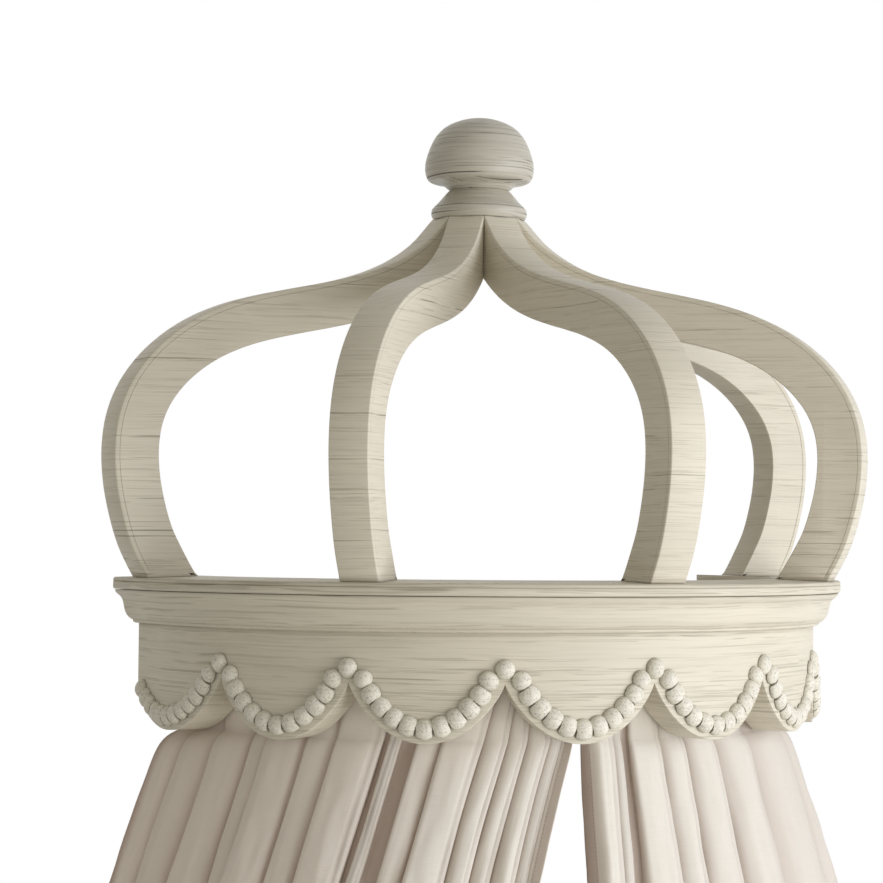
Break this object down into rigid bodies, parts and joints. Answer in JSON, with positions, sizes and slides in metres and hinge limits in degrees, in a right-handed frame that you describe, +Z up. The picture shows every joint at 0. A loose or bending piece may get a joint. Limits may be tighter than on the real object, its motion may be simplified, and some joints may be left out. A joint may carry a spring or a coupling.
{
  "type": "bed crown canopy",
  "caption": "Half-round wall-hung bed crown in painted wood: curved ribs, turned finial, moulded ring with a scalloped beaded frieze, and gathered linen curtains.",
  "frame": {"origin": "middle of the back rail's flat face that rests on the wall", "axes": "+X to the right as seen from the room, +Y into the wall, +Z up"},
  "size_m": [1.139, 0.4372, 2.452],
  "materials": {
    "cream_paint": "brushed cream glaze on wood, satin",
    "bead_paint": "worn cream paint on wood, matte",
    "bare_wood": "bare hardwood",
    "hook_tape": "woven hook tape",
    "linen": "sheer washed linen"
  },
  "bodies": {
    "root": {"top_board": "cream_paint", "cornice_moulding": "cream_paint", "frieze_board": "cream_paint", "bead_swag_1": "bead_paint", "bead_swag_2": "bead_paint", "bead_swag_3": "bead_paint", "bead_swag_4": "bead_paint", "bead_swag_5": "bead_paint", "bead_swag_6": "bead_paint", "bead_swag_7": "bead_paint", "bead_swag_8": "bead_paint", "peak_bead_1": "bead_paint", "peak_bead_2": "bead_paint", "peak_bead_3": "bead_paint", "peak_bead_4": "bead_paint", "peak_bead_5": "bead_paint", "peak_bead_6": "bead_paint", "peak_bead_7": "bead_paint", "rib_1": "cream_paint", "rib_2": "cream_paint", "rib_3": "cream_paint", "rib_4": "cream_paint", "rib_5": "cream_paint", "rib_dowel_1": "bare_wood", "rib_dowel_2": "bare_wood", "rib_dowel_3": "bare_wood", "rib_dowel_4": "bare_wood", "rib_dowel_5": "bare_wood", "finial_collar": "cream_paint", "finial_knob": "cream_paint", "hub_core": "bare_wood", "finial_pin": "bare_wood", "back_rail": "cream_paint", "hook_tape_left": "hook_tape", "hook_tape_right": "hook_tape", "curtain_left": "linen", "curtain_right": "linen"}
  },
  "joints": []
}
